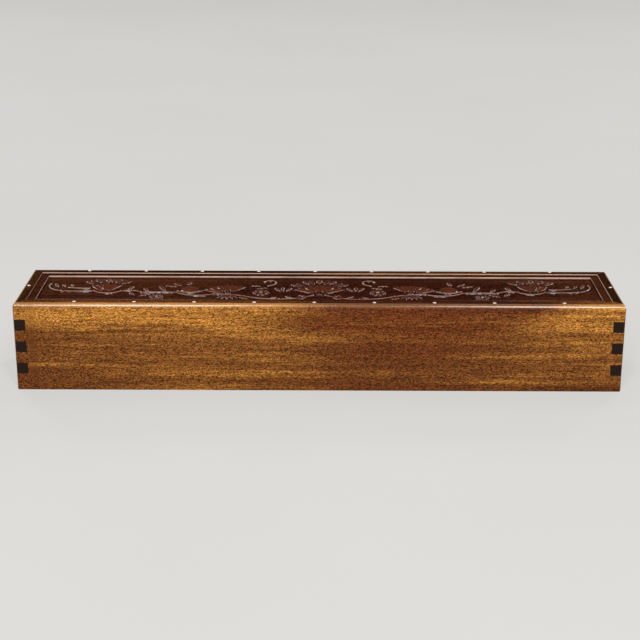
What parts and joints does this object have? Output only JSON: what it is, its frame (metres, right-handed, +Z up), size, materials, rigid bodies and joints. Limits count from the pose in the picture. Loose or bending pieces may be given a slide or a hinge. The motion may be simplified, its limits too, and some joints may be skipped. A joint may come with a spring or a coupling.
{
  "type": "scroll box",
  "caption": "Long wooden box with finger-jointed walls, a pinned mitred rim and a carved lid that slides out at one end, for keeping a rolled scroll.",
  "frame": {"origin": "under the middle of the box, on the surface it stands on", "axes": "+X along the box towards the end where the lid slides out, +Y from front to back, +Z up"},
  "size_m": [0.51, 0.096, 0.0775],
  "materials": {
    "wall_wood": "waxed, golden brown with fine dark pores",
    "rim_wood": "waxed, brown",
    "lid_wood": "waxed, dark reddish brown, carved",
    "bottom_wood": "planed, unwaxed",
    "pin_metal": "polished"
  },
  "bodies": {
    "box": {"front_wall": "wall_wood", "back_wall": "wall_wood", "left_end_wall": "wall_wood", "right_end_wall": "wall_wood", "bottom_board": "bottom_wood", "front_rim": "rim_wood", "back_rim": "rim_wood", "left_rim": "rim_wood", "front_rim_pins": "pin_metal", "back_rim_pins": "pin_metal", "left_rim_pin": "pin_metal"},
    "lid": {"lid_panel": "lid_wood", "lid_end_rim": "rim_wood", "lid_pin": "pin_metal"}
  },
  "joints": [
    {"name": "lid_slide", "type": "slide", "parent": "box", "child": "lid", "axis": [1, 0, 0], "range_m": [0, 0.48]}
  ]
}
